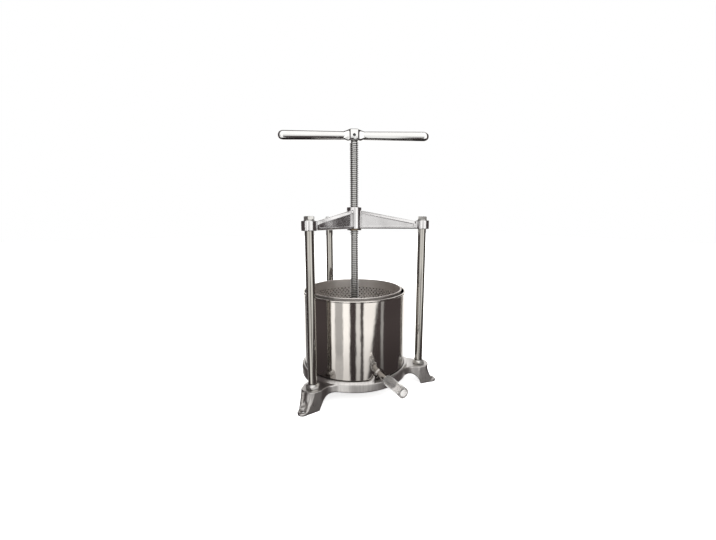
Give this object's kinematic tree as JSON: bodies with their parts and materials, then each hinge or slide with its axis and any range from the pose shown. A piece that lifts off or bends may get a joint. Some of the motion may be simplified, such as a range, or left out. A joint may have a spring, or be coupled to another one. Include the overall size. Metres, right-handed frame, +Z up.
{
  "type": "fruit press",
  "caption": "Bench-top screw press for fruit: tripod cast base, steel columns, armed crosshead, tee handle on a threaded spindle, solid pot with perforated cage and drain outlet.",
  "frame": {"origin": "on the screw axis at the level of the feet", "axes": "+Z up along the screw axis, -Y towards the drain outlet, which is midway between the two front legs"},
  "size_m": [0.3172, 0.3765, 0.5376],
  "materials": {
    "cast_aluminium": "cast, ground and buffed",
    "polished_aluminium": "polished casting",
    "polished_steel": "bright drawn and polished bar",
    "plated_fasteners": "bright plated",
    "screw_steel": "rolled thread, dull",
    "bronze": "turned bearing bronze",
    "polished_stainless": "mirror polished sheet",
    "stainless_sheet": "perforated sheet, satin",
    "clear_tube": "clear flexible vinyl"
  },
  "bodies": {
    "frame": {"base_casting": "cast_aluminium", "crosshead": "cast_aluminium", "column_front_left": "polished_steel", "column_front_right": "polished_steel", "column_rear": "polished_steel", "column_foot_nuts": "plated_fasteners", "crosshead_washers": "plated_fasteners", "crosshead_bolts": "plated_fasteners", "spindle_nut_screw": "plated_fasteners", "spindle_nut": "bronze", "outer_pot": "polished_stainless", "outlet_nozzle": "polished_stainless", "cage_wall": "stainless_sheet", "cage_floor": "stainless_sheet"},
    "plate": {"pressure_plate": "cast_aluminium", "plate_bush": "bronze", "thrust_washer": "bronze"},
    "screw": {"spindle": "screw_steel", "handle": "polished_aluminium", "handle_pin": "plated_fasteners", "keeper_washer": "plated_fasteners", "keeper_screw": "plated_fasteners"},
    "tube": {"drain_tube": "clear_tube"}
  },
  "joints": [
    {"name": "plate_slide", "type": "slide", "parent": "frame", "child": "plate", "axis": [0, 0, 1], "range_m": [-0.0861, 0.1521]},
    {"name": "screw_turn", "type": "hinge", "parent": "plate", "child": "screw", "pos_m": [0, 0, 0.2], "axis": [0, 0, 1], "range_deg": [-7740, 13680]},
    {"name": "tube_pull", "type": "slide", "parent": "frame", "child": "tube", "axis": [0, -1, 0], "range_m": [0, 0.035]}
  ],
  "couplings": [
    {"joint": "plate_slide", "follows": "screw_turn", "m_per_rad": 0.00063662}
  ]
}
